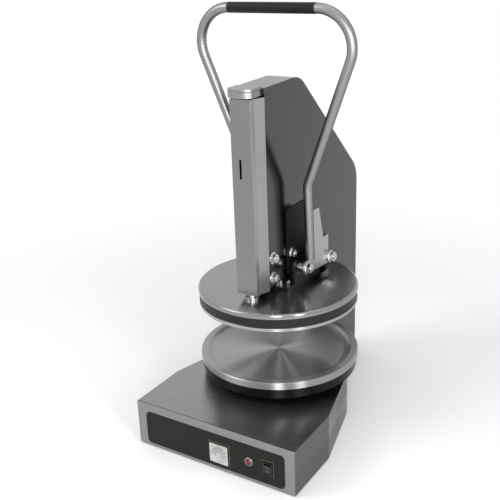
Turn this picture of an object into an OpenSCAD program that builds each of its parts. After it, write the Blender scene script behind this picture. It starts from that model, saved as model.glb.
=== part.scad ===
// Lever-operated dough press: a heated dish on a sheet-metal base and a round
// upper platen that a long handle drives down through a cam slot and a guided ram.
// Modules are drawn about the platen axis; seat() moves them to the part's origin.

/* [Base] */
// Width of the base across its front face
base_w = 368; // [350:1:420]
// Distance from the platen axis to the front face
base_front = 265; // [250:1:300]
// Length of the straight part of each side
side_len = 137; // [110:1:160]
// Width of the base where its tapered sides end
taper_w = 286; // [260:1:320]
// Distance of the taper's end behind the platen axis
taper_y = 38; // [20:1:60]
// Height of the base's top face above the floor
base_top = 100; // [98:1:130]
// Thickness of the folded sheet of the base
shell_t = 1.5; // [1:0.1:2.5]
// Gap under the skirt of the base
skirt_gap = 3; // [1:0.5:5]
// Thickness of the bottom plate
floor_t = 3; // [2:0.5:5]
// Height of the feet
foot_h = 7; // [6:0.5:12]
// Diameter of the feet
foot_d = 28; // [20:1:30]
// Distance of the feet from the edges of the base
foot_inset = 30; // [24:1:45]

/* [Control panel] */
// Margin of the base's front face beside the fascia
fascia_margin = 22; // [10:1:40]
// Height of the fascia
fascia_h = 72; // [66:1:76]
// Height of the fascia's centre above the floor
fascia_z = 46; // [45:1:50]
// Thickness of the fascia
fascia_t = 1.5; // [1:0.1:3]
// Corner radius of the fascia
fascia_r = 9; // [2:1:15]
// Distance of the dial left of the pilot lamp
dial_step = 69.5; // [55:0.5:90]
// Height of the dial's centre above the floor
dial_z = 40; // [38:0.5:48]
// Side of the square dial plate
dial_side = 42; // [38:1:46]
// Thickness of the dial plate
dial_t = 1.5; // [1:0.1:3]
// Diameter of the thermostat knob
knob_d = 27; // [22:1:34]
// Height of the thermostat knob
knob_h = 10; // [8:0.5:16]
// Diameter of the thermostat spindle
spindle_d = 6; // [5:0.5:8]
// Distance of the pilot lamp left of the rocker switch
lamp_step = 41; // [30:1:60]
// Height of the pilot lamp above the floor
lamp_z = 47; // [40:1:52]
// Outer diameter of the lamp bezel
bezel_d = 20; // [18:0.5:24]
// Diameter of the lamp's barrel in the panel
barrel_d = 14; // [10:0.5:16]
// Distance of the rocker switch from the fascia's right edge
switch_edge = 36; // [20:1:50]
// Height of the rocker switch above the floor
switch_z = 45; // [40:1:50]
// Width of the switch's rim
switch_w = 20; // [19:0.5:24]
// Height of the switch's rim
switch_h = 27; // [26:0.5:32]
// Width of the switch's rocker
rocker_w = 14; // [11:0.5:15]
// Height of the switch's rocker
rocker_h = 20; // [16:0.5:21]
// Tilt of the rocker either way
rocker_tilt = 11; // [6:1:13]

/* [Lower platen] */
// Diameter of the dish at its mouth
dish_d = 305; // [290:1:330]
// Width of the rim around the dish
rim_w = 15.5; // [10:0.5:20]
// Height of the rim's outer wall
rim_h = 15; // [12:0.5:20]
// Depth of the dish below the rim
dish_depth = 8; // [6:0.5:10]
// Run of the sloping wall at the edge of the dish
dish_cove = 14; // [6:0.5:16]
// Thickness of the dish's heel inside the drum
heel_h = 8; // [4:0.5:10]
// Distance of the drum's wall inside the rim's
drum_inset = 3; // [2:0.5:10]
// Height of the drum
drum_h = 20; // [19:0.5:30]
// Thickness of the drum's sheet
drum_t = 2; // [1:0.1:3]
// Thickness of the ring heater
heater_h = 6; // [3:0.5:8]
// Outer diameter of the ring heater
heater_d = 250; // [180:1:280]
// Diameter of the pedestal
pedestal_d = 230; // [180:1:260]
// Height of the pedestal
pedestal_h = 18; // [12:0.5:30]
// Wall of the pedestal
pedestal_t = 12; // [10:0.5:20]
// Diameter of the wiring hole through the pedestal
wire_d = 60; // [30:1:80]

/* [Upper platen] */
// Distance of the upper platen's edge inside the dish's rim
upper_inset = 1; // [0:0.5:8]
// Height of the cover's skirt
cover_h = 10; // [8:0.5:16]
// Thickness of the cover's sheet
cover_t = 3; // [2:0.5:4]
// Radius of the cover's rounded edge
cover_r = 4.5; // [3:0.5:7]
// Height of the dark band
band_h = 19; // [14:0.5:28]
// Distance of the dark band inside the cover
band_inset = 2.5; // [1:0.5:5]
// Height of the press plate's lip
plate_h = 8; // [6:0.5:14]
// Distance of the press plate's lip inside the cover
plate_inset = 1; // [0:0.5:4]
// Distance of the press plate's raised face inside the dish wall
face_inset = 12; // [10:0.5:20]
// Height of the press plate's raised face
face_h = 4; // [1:0.5:5]
// Gap that is left between platen and rim at the end of the stroke
closed_gap = 1; // [0.5:0.1:4]

/* [Lever] */
// Distance from the handle's pivot forward to the cam pin at rest
lever_reach = 103; // [100:0.5:108]
// Height of the cam pin above the handle's pivot at rest
lever_rise = 10; // [8:0.5:14]
// Swing of the handle in degrees
lever_swing = 82; // [76:0.5:84]
// Distance of the cam pin behind the platen axis at rest
pin_y = 5; // [0:0.5:10]
// Height of the cam pin above the upper platen at rest
pin_up = 40; // [38:0.5:48]
// Diameter of the cam pin
pin_d = 12; // [10:0.5:13]
// Clearance of the cam pin in its slot
slot_gap = 0.4; // [0.3:0.05:0.6]
// Diameter of the handle's pivot stud
stud_d = 14; // [10:0.5:16]
// Wall of the pivot bush
bush_t = 2; // [1.5:0.5:4]
// Running clearance of turning and sliding fits, on the radius
run_gap = 0.05; // [0.02:0.01:0.1]
// Gap between faces that move past each other
face_gap = 0.4; // [0.3:0.05:0.6]

/* [Handle] */
// Diameter of the handle tube
tube_d = 19; // [16:0.5:21]
// Wall of the handle tube
tube_t = 2; // [1.5:0.1:3]
// Distance of the lower arms from the middle
arm_x = 64; // [62:0.5:70]
// Height of the tube's lower ends above the cam pin
arm_foot = 12; // [11:0.5:16]
// Outward slope of the upper arms in degrees
arm_slope = 21.3; // [19:0.1:23]
// Radius of the bend at the middle of each arm
arm_bend_r = 45; // [35:1:60]
// Radius of the top bends
top_bend_r = 69; // [55:1:80]
// Height of the grip above the tube's lower ends
grip_up = 499; // [480:1:520]
// Length of the straight run between the top bends
grip_run = 191; // [170:1:200]
// Distance of the arms' lower ends behind the cam pin
arm_back = 20; // [19:0.5:24]
// Forward lean of the handle in degrees
handle_lean = 2.8; // [0:0.1:3.5]
// Wall of the grip sleeve
grip_t = 0.8; // [0.6:0.1:4]
// Length of the grip sleeve
grip_len = 188; // [140:1:191]
// Thickness of the gusset plates
gusset_t = 5; // [4:0.5:8]
// Height of the gussets above the cam pin
gusset_up = 114; // [90:1:125]
// Width of the gussets at their top
gusset_top_w = 42; // [36:1:46]
// Distance of the gussets' knee behind the cam pin
gusset_knee_y = 71; // [62:1:76]
// Height of the gussets' knee above the cam pin
gusset_knee_z = 22; // [14:1:32]

/* [Tower] */
// Width of the tower across its side panels
tower_w = 62; // [58:1:66]
// Thickness of the tower's sheets
panel_t = 2; // [1.5:0.1:3]
// Distance of the head's front behind which the column stands, ahead of the platen axis
head_front = 83; // [80:1:90]
// Height of the head's underside above the upper platen at rest
head_up = 21; // [19:0.5:26]
// Gap between the dish's rim and the tower's leg
leg_gap = 12; // [8:0.5:22]
// Depth of the tower's leg from front to back
leg_d = 136; // [120:1:150]
// Height of the tower
tower_top = 719; // [700:1:730]
// Height of the corner where the sloping back meets the upright back
slope_z = 473; // [455:1:490]
// Distance behind the platen axis where the top meets the sloping back
slope_y = 50; // [30:1:60]
// Rise of the tower's top from front to back
top_rise = 3; // [0:0.5:6]
// Radius of the upper back corner
top_r = 60; // [20:1:70]
// Radius of the lower back corner
slope_r = 70; // [30:1:100]
// Radius of the throat corner
throat_r = 30; // [10:1:40]

/* [Column] */
// Width of the column in front of the head
column_w = 45.5; // [44:0.5:50]
// Depth of the column
column_d = 36; // [33:0.5:40]
// Depth of the column's straight sides, behind which they flare out to the tower
column_side = 12; // [8:1:20]
// Thickness of the column's sheet
column_t = 1.5; // [1:0.1:2]
// Height of the column's lower edge above the upper platen at rest
column_up = 15; // [13:0.5:20]
// Gap between the column and its cap
cap_gap = 2.5; // [2:0.5:8]
// Height of the cap
cap_h = 17; // [12:0.5:20]
// Distance that the cap stands out beyond the column's sides
cap_out = 3; // [0:0.5:4]
// Height of the cap above the tower's top
cap_rise = 3; // [1:0.5:5]
// Rise of the cap's bowed front
cap_bow = 10; // [6:0.5:14]
// Width of the slot in the column's front
slit_w = 4.5; // [3:0.5:7]
// Length of the slot in the column's front
slit_h = 38; // [20:1:60]
// Distance of the slot left of the middle
slit_x = 4; // [0:0.5:8]
// Height of the slot's centre above the floor
slit_z = 571; // [540:1:600]

/* [Guides] */
// Diameter of the ram
ram_d = 30; // [24:0.5:34]
// Height of the guide block
guide_h = 76; // [74:1:90]
// Distance of the guide block's back behind the platen axis
guide_back = 44; // [36:1:60]
// Wall of the ram's bushes
ram_bush_t = 4; // [3:0.5:6]
// Length of the ram's bushes
ram_bush_h = 24; // [14:1:34]
// Diameter of the guide bolts
guide_bolt_d = 10; // [8:0.5:12]
// Distance of the guide bolts behind the head's front
guide_bolt_y = 12; // [11:0.5:16]
// Height of the lower guide bolts above the head's underside
guide_bolt_z = 19; // [15:0.5:24]
// Distance between the guide bolts
guide_bolt_step = 42; // [34:1:48]
// Distance of the side screws behind the platen axis
side_screw_y = 3; // [0:0.5:8]
// Height of the side screws above the yoke's ears at rest
side_screw_up = 13; // [12:0.5:18]
// Thickness of the dark plates on the tower's sides
side_plate_t = 2; // [1:0.5:3]
// Width of the dark plates
side_plate_w = 82; // [70:1:90]
// Height of the dark plates
side_plate_h = 141; // [130:1:150]
// Distance of the dark plates' front edge ahead of the platen axis
side_plate_front = 16; // [14:1:24]
// Diameter of the guide rod in the column
rod_d = 14; // [10:0.5:18]
// Length of the guide rod above the upper platen
rod_len = 240; // [220:1:260]
// Height of the guide rod's bearing block
rod_block_h = 30; // [20:1:40]
// Length of the return spring at rest
spring_len = 160; // [155:1:170]
// Wire diameter of the return spring
spring_wire = 3.2; // [2.5:0.1:4]
// Turns of the return spring
spring_turns = 10; // [6:1:11]
// Height of the ram's collar
collar_h = 14; // [8:0.5:20]

/* [Yoke and brackets] */
// Gap between the tower and the yoke's ears
ear_gap = 9; // [8.5:0.5:12]
// Thickness of the yoke's ears
ear_t = 6; // [4:0.5:7]
// Thickness of the yoke's foot
yoke_t = 6; // [4:0.5:8]
// Web of the ears around the cam slot
ear_web = 9; // [6:0.5:10]
// Thickness of the pivot brackets
bracket_t = 5; // [4:0.5:6]
// Gap between an ear and its pivot bracket
bracket_gap = 3; // [2:0.5:4]
// Height of the pivot brackets above the pivot
bracket_up = 43; // [40:1:60]
// Height of the pivot brackets below the pivot
bracket_down = 22; // [16:0.5:24]

/* [Hidden] */
$fn = 64;

steel = [0.72, 0.72, 0.71];
bright = [0.86, 0.86, 0.85];
dark_steel = [0.42, 0.42, 0.42];
alloy = [0.78, 0.78, 0.76];
black = [0.08, 0.08, 0.08];
rubber = [0.12, 0.12, 0.12];
bronze = [0.65, 0.48, 0.25];
pale = [0.88, 0.88, 0.87];
red = [0.75, 0.08, 0.06];
cream = [0.85, 0.82, 0.74];

// Lengths that overshoot a cut
cut = 1;

// Heights of the lower stack
floor_z = foot_h + floor_t;
drum_z = base_top + pedestal_h;
dish_z = drum_z + drum_h;
rim_top = dish_z + rim_h;
rim_r = dish_d / 2 + rim_w;
drum_r = rim_r - drum_inset;
insulation_h = drum_h - drum_t - heater_h - heel_h;
leg_y = rim_r + leg_gap;
tower_back = leg_y + leg_d;

// Places on the control panel
fascia_w = base_w - 2 * fascia_margin;
switch_x = fascia_w / 2 - switch_edge;
lamp_x = switch_x - lamp_step;
dial_x = lamp_x - dial_step;

// Lever geometry: the pivot is fixed on the tower and the cam pin swings about it
lever_r = norm([lever_reach, lever_rise]);
lever_a = atan2(lever_rise, lever_reach);
stroke = lever_r * (sin(lever_a) + sin(lever_swing - lever_a));
pivot_y = pin_y + lever_reach;

// Heights of the upper stack at rest, with the platen raised by the whole stroke
lip_z = rim_top + closed_gap + stroke;
band_z = lip_z + plate_h;
cover_z = band_z + band_h;
upper_top = cover_z + cover_h;
upper_r = rim_r - upper_inset;
pin_z = upper_top + pin_up;
pivot_z = pin_z - lever_rise;
head_z = upper_top + head_up;
column_z = upper_top + column_up;
column_top = tower_top + cap_rise - cap_h - cap_gap;

// Places across the tower, from the middle outward
panel_x = tower_w / 2;
core_x = panel_x - panel_t;
ear_x = panel_x + ear_gap;
bracket_x = ear_x + ear_t + bracket_gap;
gusset_x = arm_x - gusset_t / 2;

// Guides
guide_z = head_z + panel_t;
guide_top = guide_z + guide_h;
collar_z = guide_top + spring_len;
ram_top = collar_z + collar_h;
ram_flange_d = ram_d + 22;
ram_flange_h = 6;
column_front = -head_front - column_d;
rod_y = column_front + column_d / 2;
bolt_head_h = 8;
rod_flange_w = 6;
rod_flange_h = 6;

// Overall reach to front and back, and the platen axis that centres the part on its origin
knob_gap = 0.5;
front_reach = base_front + fascia_t + dial_t + knob_gap + knob_h;
gland_out = 20;
axis_y = (front_reach - tower_back - gland_out) / 2;

// Vectors, rounded corners and inset outlines
function unit(v) = v / norm(v);
function turn(v, a) = [v.x * cos(a) - v.y * sin(a), v.x * sin(a) + v.y * cos(a)];
function corner(a, p, b, r, steps = 10) =
    let (u = unit(a - p), v = unit(b - p), half = acos(u * v) / 2)
    let (c = p + unit(u + v) * r / sin(half), s = p + u * r / tan(half) - c)
    let (sweep = (cross(u, v) < 0 ? 1 : -1) * (180 - 2 * half))
    [for (i = [0:steps]) c + turn(s, sweep * i / steps)];
function near(points, i) = points[(i + len(points)) % len(points)];
function rounded(points, r, steps = 10) = [
    for (i = [0:len(points) - 1]) each corner(near(points, i - 1), points[i], near(points, i + 1), r, steps)
];
function left_of(a, b) = let (e = unit(b - a)) [-e.y, e.x];
function inset(points, d) = [
    for (i = [0:len(points) - 1])
        let (m = left_of(near(points, i - 1), points[i]), n = left_of(points[i], near(points, i + 1)))
        points[i] + (m + n) * d / (1 + m * n)
];
function reversed(points) = [for (i = [len(points) - 1:-1:0]) points[i]];

// Plan of the base: wide in front, tapered to the tower's width behind
base_plan = [
    [-base_w / 2, -base_front], [base_w / 2, -base_front],
    [base_w / 2, side_len - base_front], [taper_w / 2, taper_y], [panel_x, leg_y],
    [-panel_x, leg_y], [-taper_w / 2, taper_y], [-base_w / 2, side_len - base_front]
];

// Side view of the tower in Y and Z, counter-clockwise from the head's lower front corner
tower_view = [
    [-head_front, head_z], [leg_y, head_z], [leg_y, floor_z], [tower_back, floor_z],
    [tower_back, slope_z], [slope_y, tower_top + top_rise], [-head_front, tower_top]
];
tower_inner = inset(tower_view, panel_t);

// Path of the cam pin across the yoke's ears, for a handle angle in degrees
function cam_at(a) = [
    pivot_y - lever_r * cos(lever_a - a),
    pivot_z + lever_r * sin(lever_a - a) + stroke * a / lever_swing
];
function cam_way(a) = unit(cam_at(a + 0.5) - cam_at(a - 0.5));
cam_steps = 26;
cam_w = pin_d / 2 + slot_gap;
cam_angles = [for (i = [0:cam_steps]) lever_swing * i / cam_steps];
cam_left = [for (a = cam_angles) cam_at(a) + turn(cam_way(a), 90) * cam_w];
cam_right = [for (a = cam_angles) cam_at(a) + turn(cam_way(a), -90) * cam_w];
function cam_end(a, from) = [for (j = [15:15:165]) cam_at(a) + turn(cam_way(a), from - j) * cam_w];
cam_slot = concat(cam_left, cam_end(lever_swing, 90), reversed(cam_right), cam_end(0, -90));
ear_front = min([for (a = cam_angles) cam_at(a).x]) - cam_w - ear_web;
ear_back = cam_at(lever_swing).x + cam_w + ear_web;
ear_top = pin_z + cam_w + ear_web;

// Handle: the tube lies in a plane that leans forward about its lower ends
foot_y = pin_y + arm_back;
foot_z = pin_z + arm_foot;
bend_tan = arm_bend_r * tan(arm_slope / 2);
top_x = grip_run / 2;
top_z = grip_up - top_bend_r;
arm_top = [top_x + top_bend_r * cos(arm_slope), top_z - top_bend_r * sin(arm_slope)];
arm_low = arm_top.y - (arm_top.x - arm_x) / tan(arm_slope);
bend_start = arm_low - bend_tan;
bend_end = [arm_x + bend_tan * sin(arm_slope), arm_low + bend_tan * cos(arm_slope)];

module seat() {
    translate([0, axis_y, 0]) children();
}

module both_sides() {
    children();
    mirror([1, 0, 0]) children();
}

// Turns a flat drawing in Y and Z into a plate of thickness t that starts at x
module upright(x, t) {
    translate([x, 0, 0]) rotate([90, 0, 90]) linear_extrude(t) children();
}

// Places children on the front face at height z, with their Z pointing out of it
module on_front(x, z) {
    translate([x, -base_front, z]) rotate([90, 0, 0]) children();
}

// Round bar along X from x0 to x1 at a place in Y and Z
module bar_x(x0, x1, d, place) {
    translate([x0, place.x, place.y]) rotate([0, 90, 0]) cylinder(d = d, h = x1 - x0);
}

module hex_x(x0, x1, d, place) {
    translate([x0, place.x, place.y]) rotate([0, 90, 0]) cylinder(d = d, h = x1 - x0, $fn = 6);
}

module ring(d, hole, h) {
    difference() {
        cylinder(d = d, h = h);
        translate([0, 0, -cut]) cylinder(d = hole, h = h + 2 * cut);
    }
}

module plate_shape(w, h, r) {
    polygon(rounded([[-w / 2, -h / 2], [w / 2, -h / 2], [w / 2, h / 2], [-w / 2, h / 2]], r, 8));
}

// Base

body_w = switch_w - 2;
body_h = switch_h - 2;
barrel_hole = barrel_d + 1;
spindle_hole = spindle_d + 4;
switch_gap = 0.2;
pedestal_pcd = pedestal_d - pedestal_t;
pedestal_bolt_d = 6;

foot_places = [
    for (s = [-1, 1]) each [
        [s * (base_w / 2 - foot_inset), foot_inset - base_front],
        [s * (taper_w / 2 - foot_inset), taper_y - foot_inset],
        [s * (panel_x - foot_d / 2), tower_back - foot_inset]
    ]
];

module panel_holes(h) {
    translate([dial_x, dial_z, -cut]) cylinder(d = spindle_hole, h = h);
    translate([lamp_x, lamp_z, -cut]) cylinder(d = barrel_hole, h = h);
    translate([switch_x, switch_z, h / 2 - cut])
        cube([body_w + 2 * switch_gap, body_h + 2 * switch_gap, h], center = true);
}

module pedestal_holes(z, h) {
    for (a = [45:90:315])
        rotate([0, 0, a]) translate([pedestal_pcd / 2, 0, z]) cylinder(d = pedestal_bolt_d, h = h);
}

screw_d = 4;

module base_plate() {
    color(dark_steel) difference() {
        translate([0, 0, foot_h]) union() {
            linear_extrude(floor_t) polygon(inset(base_plan, shell_t));
            translate([-panel_x, leg_y - 2 * shell_t, 0])
                cube([tower_w, tower_back - leg_y + 2 * shell_t, floor_t]);
        }
        for (p = foot_places)
            translate([p.x, p.y, foot_h - cut]) cylinder(d = screw_d, h = floor_t + 2 * cut);
    }
}

module base_shell() {
    color(steel) difference() {
        translate([0, 0, skirt_gap]) linear_extrude(base_top - skirt_gap) polygon(base_plan);
        translate([0, 0, skirt_gap - cut])
            linear_extrude(base_top - skirt_gap - shell_t + cut) polygon(inset(base_plan, shell_t));
        translate([-panel_x - cut, leg_y - 3 * shell_t, skirt_gap - cut])
            cube([tower_w + 2 * cut, 6 * shell_t, floor_z - skirt_gap + cut]);
        translate([0, 0, base_top - shell_t - cut]) cylinder(d = wire_d, h = shell_t + 2 * cut);
        pedestal_holes(base_top - shell_t - cut, shell_t + 2 * cut);
        on_front(0, 0) translate([0, 0, -shell_t - cut]) panel_holes(shell_t + 3 * cut);
    }
}

module rubber_feet() {
    color(rubber) for (p = foot_places) translate([p.x, p.y, 0]) difference() {
        cylinder(d = foot_d, h = foot_h);
        translate([0, 0, -cut]) cylinder(d = 2.2 * screw_d, h = foot_h / 2 + cut);
        cylinder(d = screw_d, h = foot_h + cut);
    }
}

module foot_screws() {
    color(bright) for (p = foot_places) translate([p.x, p.y, foot_h / 2 - screw_d / 2]) {
        cylinder(d = 2 * screw_d, h = screw_d / 2);
        cylinder(d = screw_d, h = foot_h / 2 + screw_d / 2 + floor_t + screw_d / 2);
    }
}

// Control panel

module control_fascia() {
    color(black) on_front(0, 0) difference() {
        translate([0, fascia_z, 0]) linear_extrude(fascia_t) plate_shape(fascia_w, fascia_h, fascia_r);
        panel_holes(fascia_t + 3 * cut);
    }
}

module dial_plate() {
    color(pale) on_front(dial_x, dial_z) translate([0, 0, fascia_t]) difference() {
        linear_extrude(dial_t) plate_shape(dial_side, dial_side, 2.5);
        translate([0, 0, -cut]) cylinder(d = spindle_hole, h = dial_t + 2 * cut);
    }
}

thermostat_d = 38;
thermostat_h = 32;
spindle_in = 14;

module thermostat() {
    color(cream) on_front(dial_x, dial_z) translate([0, 0, -shell_t - thermostat_h]) difference() {
        cylinder(d = thermostat_d, h = thermostat_h);
        translate([0, 0, thermostat_h - spindle_in - face_gap])
            cylinder(d = spindle_d + 2 * run_gap, h = spindle_in + face_gap + cut);
    }
}

knob_base = fascia_t + dial_t + knob_gap;
knob_socket = knob_h - 4;

module thermostat_spindle() {
    color(bright) on_front(dial_x, dial_z) translate([0, 0, -shell_t - spindle_in])
        cylinder(d = spindle_d, h = shell_t + spindle_in + knob_base + knob_socket);
}

knob_skirt_h = 3.5;
knob_step = 3;
knob_bevel = 1.5;
knob_groove = [1.6, 6, 1];

module thermostat_knob() {
    top_d = knob_d - 2 * knob_step;
    color(pale) on_front(dial_x, dial_z) translate([0, 0, knob_base]) difference() {
        union() {
            cylinder(d = knob_d, h = knob_skirt_h);
            cylinder(d = top_d, h = knob_h - knob_bevel);
            translate([0, 0, knob_h - knob_bevel])
                cylinder(d1 = top_d, d2 = top_d - 2 * knob_bevel, h = knob_bevel);
        }
        translate([0, 0, -cut]) cylinder(d = spindle_d, h = knob_socket + cut);
        translate([-knob_groove.x / 2, top_d / 2 - knob_groove.y, knob_h - knob_groove.z])
            cube([knob_groove.x, knob_groove.y + cut, knob_groove.z + cut]);
    }
}

lens_d = barrel_d - 3;
lens_in = 2;
lens_h = 4;
lens_bevel = 2;
lamp_in = 22;
bezel_h = 1.5;
bezel_bevel = 1.5;

module pilot_bezel() {
    color(pale) on_front(lamp_x, lamp_z) difference() {
        union() {
            translate([0, 0, fascia_t]) cylinder(d = bezel_d, h = bezel_h);
            translate([0, 0, fascia_t + bezel_h])
                cylinder(d1 = bezel_d, d2 = bezel_d - 2 * bezel_bevel, h = bezel_bevel);
            translate([0, 0, -shell_t - lamp_in]) cylinder(d = barrel_d, h = shell_t + lamp_in + fascia_t);
        }
        translate([0, 0, fascia_t - lens_in]) cylinder(d = lens_d, h = lens_in + bezel_h + bezel_bevel + cut);
    }
}

module pilot_lens() {
    color(red) on_front(lamp_x, lamp_z) translate([0, 0, fascia_t - lens_in]) {
        cylinder(d = lens_d, h = lens_h);
        translate([0, 0, lens_h]) cylinder(d1 = lens_d, d2 = lens_d - 2 * lens_bevel, h = lens_bevel);
    }
}

switch_in = 20;
rim_out = 2;
well_in = 9;
trunnion_d = 2.4;
well_w = rocker_w + 2 * face_gap;
rocker_reach = norm([rocker_h / 2, 5]);
well_h = 2 * rocker_reach + 2 * face_gap;

module switch_frame() {
    color(black) on_front(switch_x, switch_z) difference() {
        union() {
            translate([0, 0, fascia_t]) linear_extrude(rim_out) plate_shape(switch_w, switch_h, 1.5);
            translate([-body_w / 2, -body_h / 2, -shell_t - switch_in])
                cube([body_w, body_h, shell_t + switch_in + fascia_t]);
        }
        translate([-well_w / 2, -well_h / 2, -well_in])
            cube([well_w, well_h, well_in + fascia_t + rim_out + cut]);
        translate([-body_w / 2 - cut, 0, 0]) rotate([0, 90, 0])
            cylinder(d = trunnion_d + 2 * run_gap, h = body_w + 2 * cut);
    }
}

// The rocker is drawn tilted, with its lower half pressed in
module switch_rocker() {
    half = rocker_h / 2;
    pin_len = (body_w + rocker_w) / 2;
    color(black) on_front(switch_x, switch_z) rotate([rocker_tilt, 0, 0]) union() {
        translate([-rocker_w / 2, 0, 0]) rotate([90, 0, 90]) linear_extrude(rocker_w)
            polygon([[-half, 5], [0, 2.6], [half, 5], [half * 0.8, -4], [-half * 0.8, -4]]);
        translate([-pin_len / 2, 0, 0]) rotate([0, 90, 0]) cylinder(d = trunnion_d, h = pin_len);
    }
}

block_size = [60, 22, 18];

module terminal_block() {
    color(cream) translate([-block_size.x / 2, taper_y - block_size.y, floor_z]) difference() {
        cube(block_size);
        for (i = [0:3]) translate([block_size.x * (i + 0.5) / 4, block_size.y / 2, block_size.z - 8])
            cylinder(d = 6, h = 8 + cut);
    }
}

gland_z = 60;
gland_d = 16;
gland_bore = 8;
gland_hex = 24;

module along_back(z) {
    translate([0, tower_back, z]) rotate([-90, 0, 0]) children();
}

module cable_gland() {
    color(black) along_back(gland_z) difference() {
        union() {
            translate([0, 0, -panel_t - 12]) cylinder(d = gland_d, h = panel_t + 12);
            cylinder(d = gland_hex, h = 7, $fn = 6);
            translate([0, 0, 7]) cylinder(d = gland_hex - 4, h = 7);
            translate([0, 0, 14]) cylinder(d1 = gland_hex - 4, d2 = gland_bore + 6, h = gland_out - 14);
        }
        translate([0, 0, -panel_t - 12 - cut])
            cylinder(d = gland_bore, h = gland_out + panel_t + 12 + 2 * cut);
    }
}

module gland_nut() {
    color(black) along_back(gland_z) translate([0, 0, -panel_t - 5]) difference() {
        cylinder(d = gland_hex, h = 5, $fn = 6);
        translate([0, 0, -cut]) cylinder(d = gland_d, h = 5 + 2 * cut);
    }
}

// Lower platen

module pedestal() {
    color(black) difference() {
        translate([0, 0, base_top]) cylinder(d = pedestal_d, h = pedestal_h);
        translate([0, 0, base_top - cut])
            cylinder(d = pedestal_d - 2 * pedestal_t, h = pedestal_h + 2 * cut);
        pedestal_holes(base_top - cut, pedestal_h + 2 * cut);
    }
}

module pedestal_bolts() {
    color(bright) for (a = [45:90:315]) rotate([0, 0, a]) translate([pedestal_pcd / 2, 0, 0]) {
        translate([0, 0, base_top - shell_t - 4]) cylinder(d = pedestal_bolt_d + 4, h = 4, $fn = 6);
        translate([0, 0, base_top - shell_t])
            cylinder(d = pedestal_bolt_d, h = shell_t + pedestal_h + drum_t);
    }
}

module lower_drum() {
    color(dark_steel) difference() {
        translate([0, 0, drum_z]) cylinder(r = drum_r, h = drum_h, $fn = 128);
        translate([0, 0, drum_z + drum_t]) cylinder(r = drum_r - drum_t, h = drum_h, $fn = 128);
        translate([0, 0, drum_z - cut]) cylinder(d = wire_d, h = drum_t + 2 * cut);
        pedestal_holes(drum_z - cut, drum_t + 2 * cut);
    }
}

module lower_insulation() {
    color(cream) translate([0, 0, drum_z + drum_t]) ring(2 * (drum_r - drum_t), wire_d, insulation_h);
}

module heater_ring() {
    color(dark_steel) translate([0, 0, drum_z + drum_t + insulation_h]) ring(heater_d, wire_d, heater_h);
}

// Section of the dish, turned about the platen axis
module lower_platen() {
    edge = 1;
    floor_top = dish_z + rim_h - dish_depth;
    heel_r = drum_r - drum_t;
    color(alloy) rotate_extrude($fn = 128) polygon([
        [0, dish_z - heel_h], [heel_r, dish_z - heel_h], [heel_r, dish_z], [rim_r - edge, dish_z],
        [rim_r, dish_z + edge], [rim_r, rim_top - 2 * edge], [rim_r - 2 * edge, rim_top],
        [dish_d / 2 + edge, rim_top], [dish_d / 2, rim_top - edge],
        [dish_d / 2 - dish_cove * 0.35, floor_top + dish_depth * 0.3],
        [dish_d / 2 - dish_cove, floor_top], [0, floor_top]
    ]);
}

// Tower

guide_bolts_at = [
    for (i = [0, 1]) [guide_bolt_y - head_front, head_z + guide_bolt_z + i * guide_bolt_step]
];

side_screw_in = 11;
side_screw_at = [side_screw_y, ear_top + side_screw_up];

module tower_side() {
    color(dark_steel) difference() {
        upright(core_x, panel_t) polygon(concat(
            [tower_view[0]],
            corner(tower_view[0], tower_view[1], tower_view[2], throat_r),
            [tower_view[2], tower_view[3]],
            corner(tower_view[3], tower_view[4], tower_view[5], slope_r),
            corner(tower_view[4], tower_view[5], tower_view[6], top_r),
            [tower_view[6]]
        ));
        for (p = concat(guide_bolts_at, [side_screw_at]))
            bar_x(core_x - cut, panel_x + cut, guide_bolt_d, p);
    }
}

module tower_side_left() {
    mirror([1, 0, 0]) tower_side();
}

module tower_side_right() {
    tower_side();
}

// Bent strip between the side panels from the foot up the back, the slope and the top
module tower_spine() {
    outer = concat(
        [tower_view[3]],
        corner(tower_view[3], tower_view[4], tower_view[5], slope_r),
        corner(tower_view[4], tower_view[5], tower_view[6], top_r),
        [tower_view[6]]
    );
    inner = concat(
        [[tower_inner[3].x, tower_view[3].y]],
        corner(tower_inner[3], tower_inner[4], tower_inner[5], slope_r - panel_t),
        corner(tower_inner[4], tower_inner[5], tower_inner[6], top_r - panel_t),
        [[tower_view[6].x, tower_inner[6].y]]
    );
    color(steel) difference() {
        upright(-core_x, 2 * core_x) polygon(concat(outer, reversed(inner)));
        along_back(gland_z) translate([0, 0, -panel_t - cut]) cylinder(d = gland_d, h = panel_t + 2 * cut);
    }
}

// Bent strip under the head and down the front of the leg
module tower_throat() {
    outer = concat(
        [tower_view[0]],
        corner(tower_view[0], tower_view[1], tower_view[2], throat_r),
        [tower_view[2]]
    );
    inner = concat(
        [[tower_view[0].x, tower_inner[0].y]],
        corner(tower_inner[0], tower_inner[1], tower_inner[2], throat_r + panel_t),
        [[tower_inner[2].x, tower_view[2].y]]
    );
    color(steel) difference() {
        upright(-core_x, 2 * core_x) polygon(concat(outer, reversed(inner)));
        translate([0, 0, head_z - cut]) cylinder(d = ram_d + 4, h = panel_t + 2 * cut);
    }
}

module tower_front() {
    color(black) translate([-core_x, -head_front, head_z + panel_t])
        cube([2 * core_x, panel_t, tower_inner[6].y - head_z - panel_t]);
}

// Column and cap

// Right half of the column's plan from back to front, set in from the outside
function column_half(t) = [
    [panel_x - t, -head_front], [column_w / 2 - t, column_front + column_side],
    [column_w / 2 - t, column_front + t]
];
function mirrored(points) = [for (p = reversed(points)) [-p.x, p.y]];

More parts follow.
